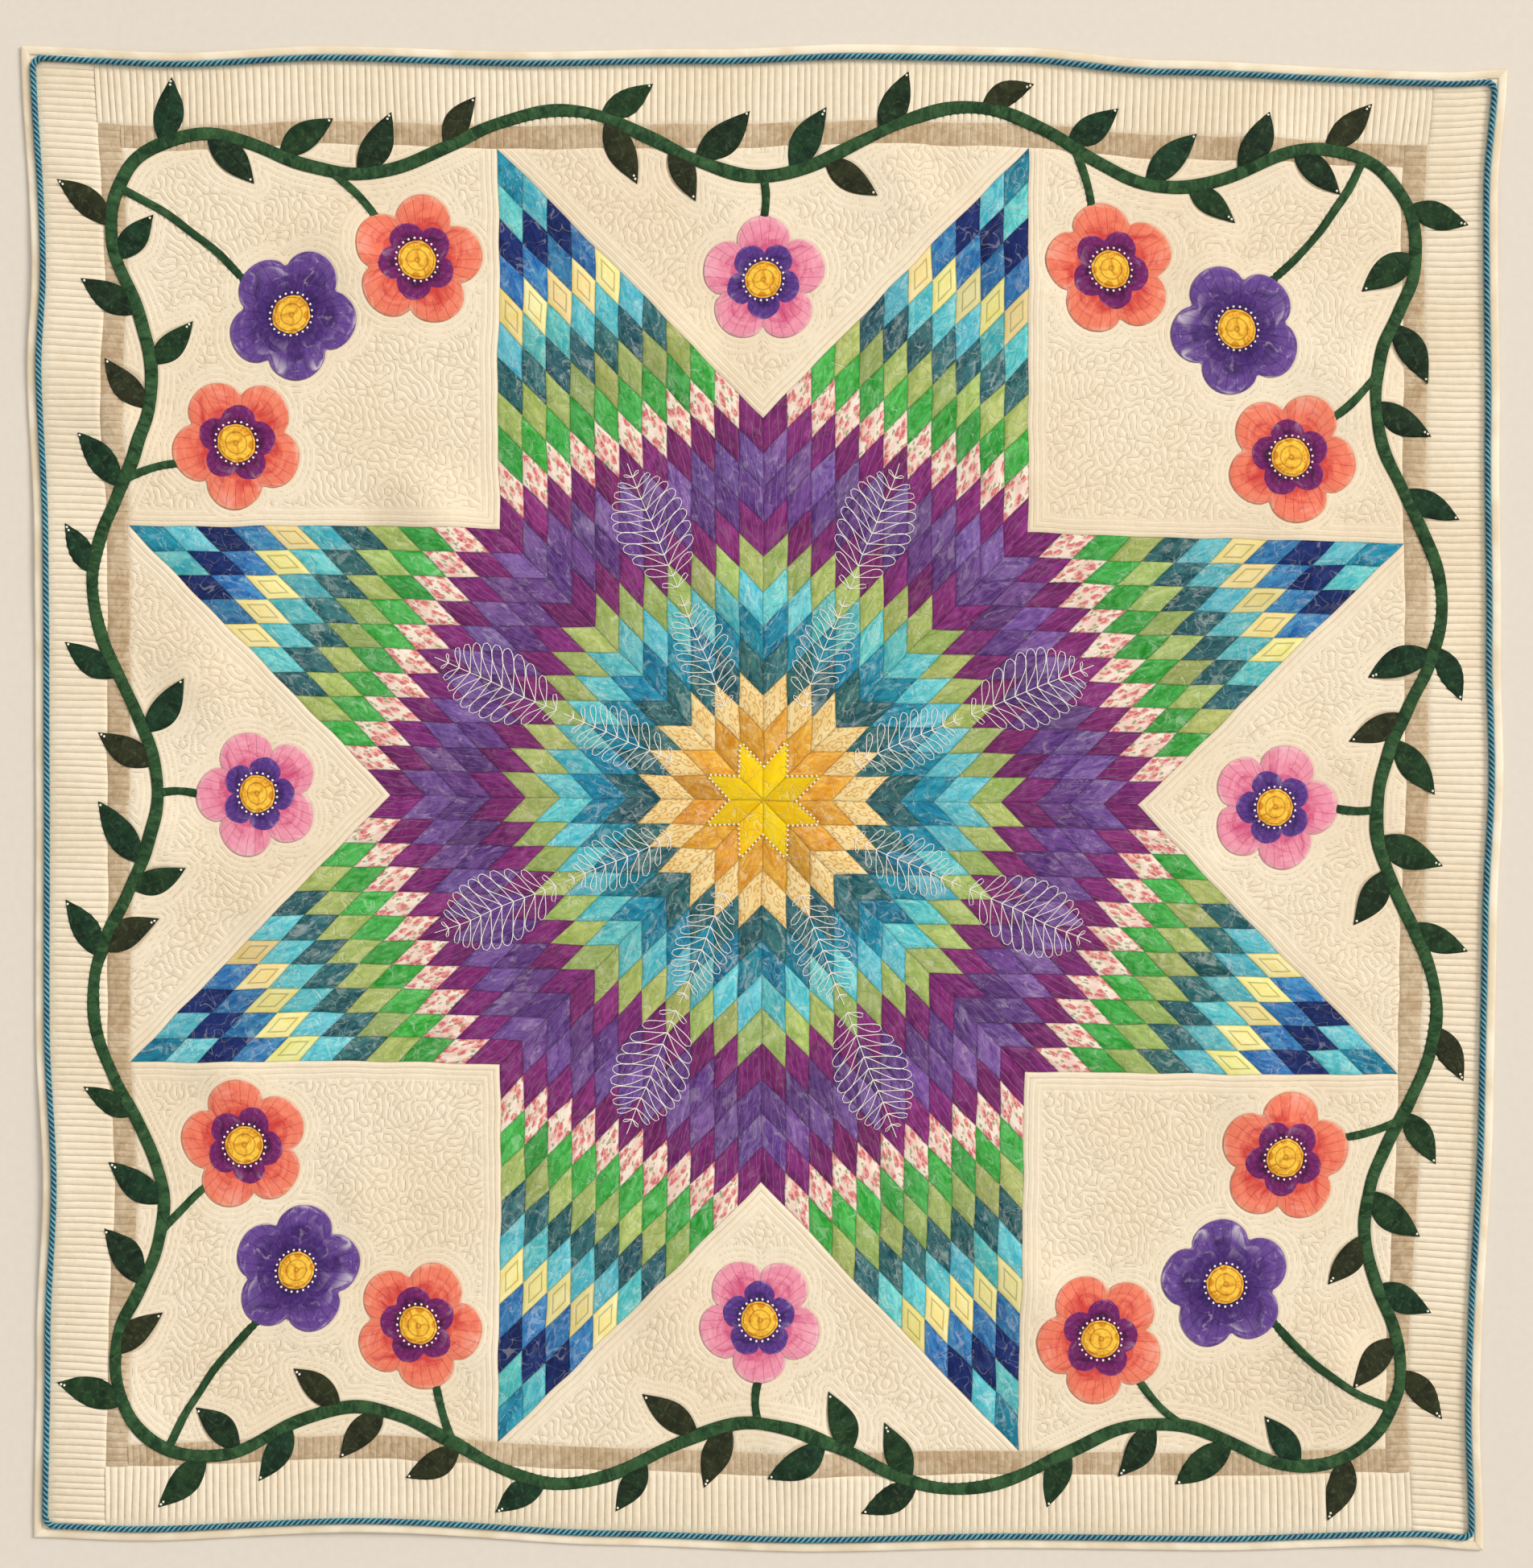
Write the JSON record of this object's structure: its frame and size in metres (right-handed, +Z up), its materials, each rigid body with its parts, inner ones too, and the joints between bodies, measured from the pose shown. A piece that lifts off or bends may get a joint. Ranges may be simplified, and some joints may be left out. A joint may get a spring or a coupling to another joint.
{
  "type": "star quilt",
  "caption": "Large square layered bed or wall quilt with a pieced star, a channel-quilted border, an applique vine with flowers, a twisted cord and a folded binding, lying flat.",
  "frame": {"origin": "middle of the outline's box, on the floor under the quilt", "axes": "+Z up through the quilt, +Y towards its head, +X to the right seen from above"},
  "size_m": [2.158, 2.1888, 0.0183],
  "materials": {
    "quilt_top": "matte cotton",
    "binding": "matte cotton",
    "piping": "soft sheen twisted cord",
    "vine": "matte hand-dyed cotton",
    "petals_coral": "matte cotton",
    "petals_pink": "matte cotton",
    "petals_purple": "matte cotton",
    "flower_centre": "matte cotton"
  },
  "bodies": {
    "root": {"quilt_body": "quilt_top", "piping": "piping", "binding_north": "binding", "vine_north": "vine", "flower_north_1_petals": "petals_coral", "flower_north_1_centre": "flower_centre", "flower_north_2_petals": "petals_pink", "flower_north_2_centre": "flower_centre", "flower_north_3_petals": "petals_coral", "flower_north_3_centre": "flower_centre", "flower_north_4_petals": "petals_purple", "flower_north_4_centre": "flower_centre", "binding_west": "binding", "vine_west": "vine", "flower_west_1_petals": "petals_coral", "flower_west_1_centre": "flower_centre", "flower_west_2_petals": "petals_pink", "flower_west_2_centre": "flower_centre", "flower_west_3_petals": "petals_coral", "flower_west_3_centre": "flower_centre", "flower_west_4_petals": "petals_purple", "flower_west_4_centre": "flower_centre", "binding_south": "binding", "vine_south": "vine", "flower_south_1_petals": "petals_coral", "flower_south_1_centre": "flower_centre", "flower_south_2_petals": "petals_pink", "flower_south_2_centre": "flower_centre", "flower_south_3_petals": "petals_coral", "flower_south_3_centre": "flower_centre", "flower_south_4_petals": "petals_purple", "flower_south_4_centre": "flower_centre", "binding_east": "binding", "vine_east": "vine", "flower_east_1_petals": "petals_coral", "flower_east_1_centre": "flower_centre", "flower_east_2_petals": "petals_pink", "flower_east_2_centre": "flower_centre", "flower_east_3_petals": "petals_coral", "flower_east_3_centre": "flower_centre", "flower_east_4_petals": "petals_purple", "flower_east_4_centre": "flower_centre"}
  },
  "joints": []
}
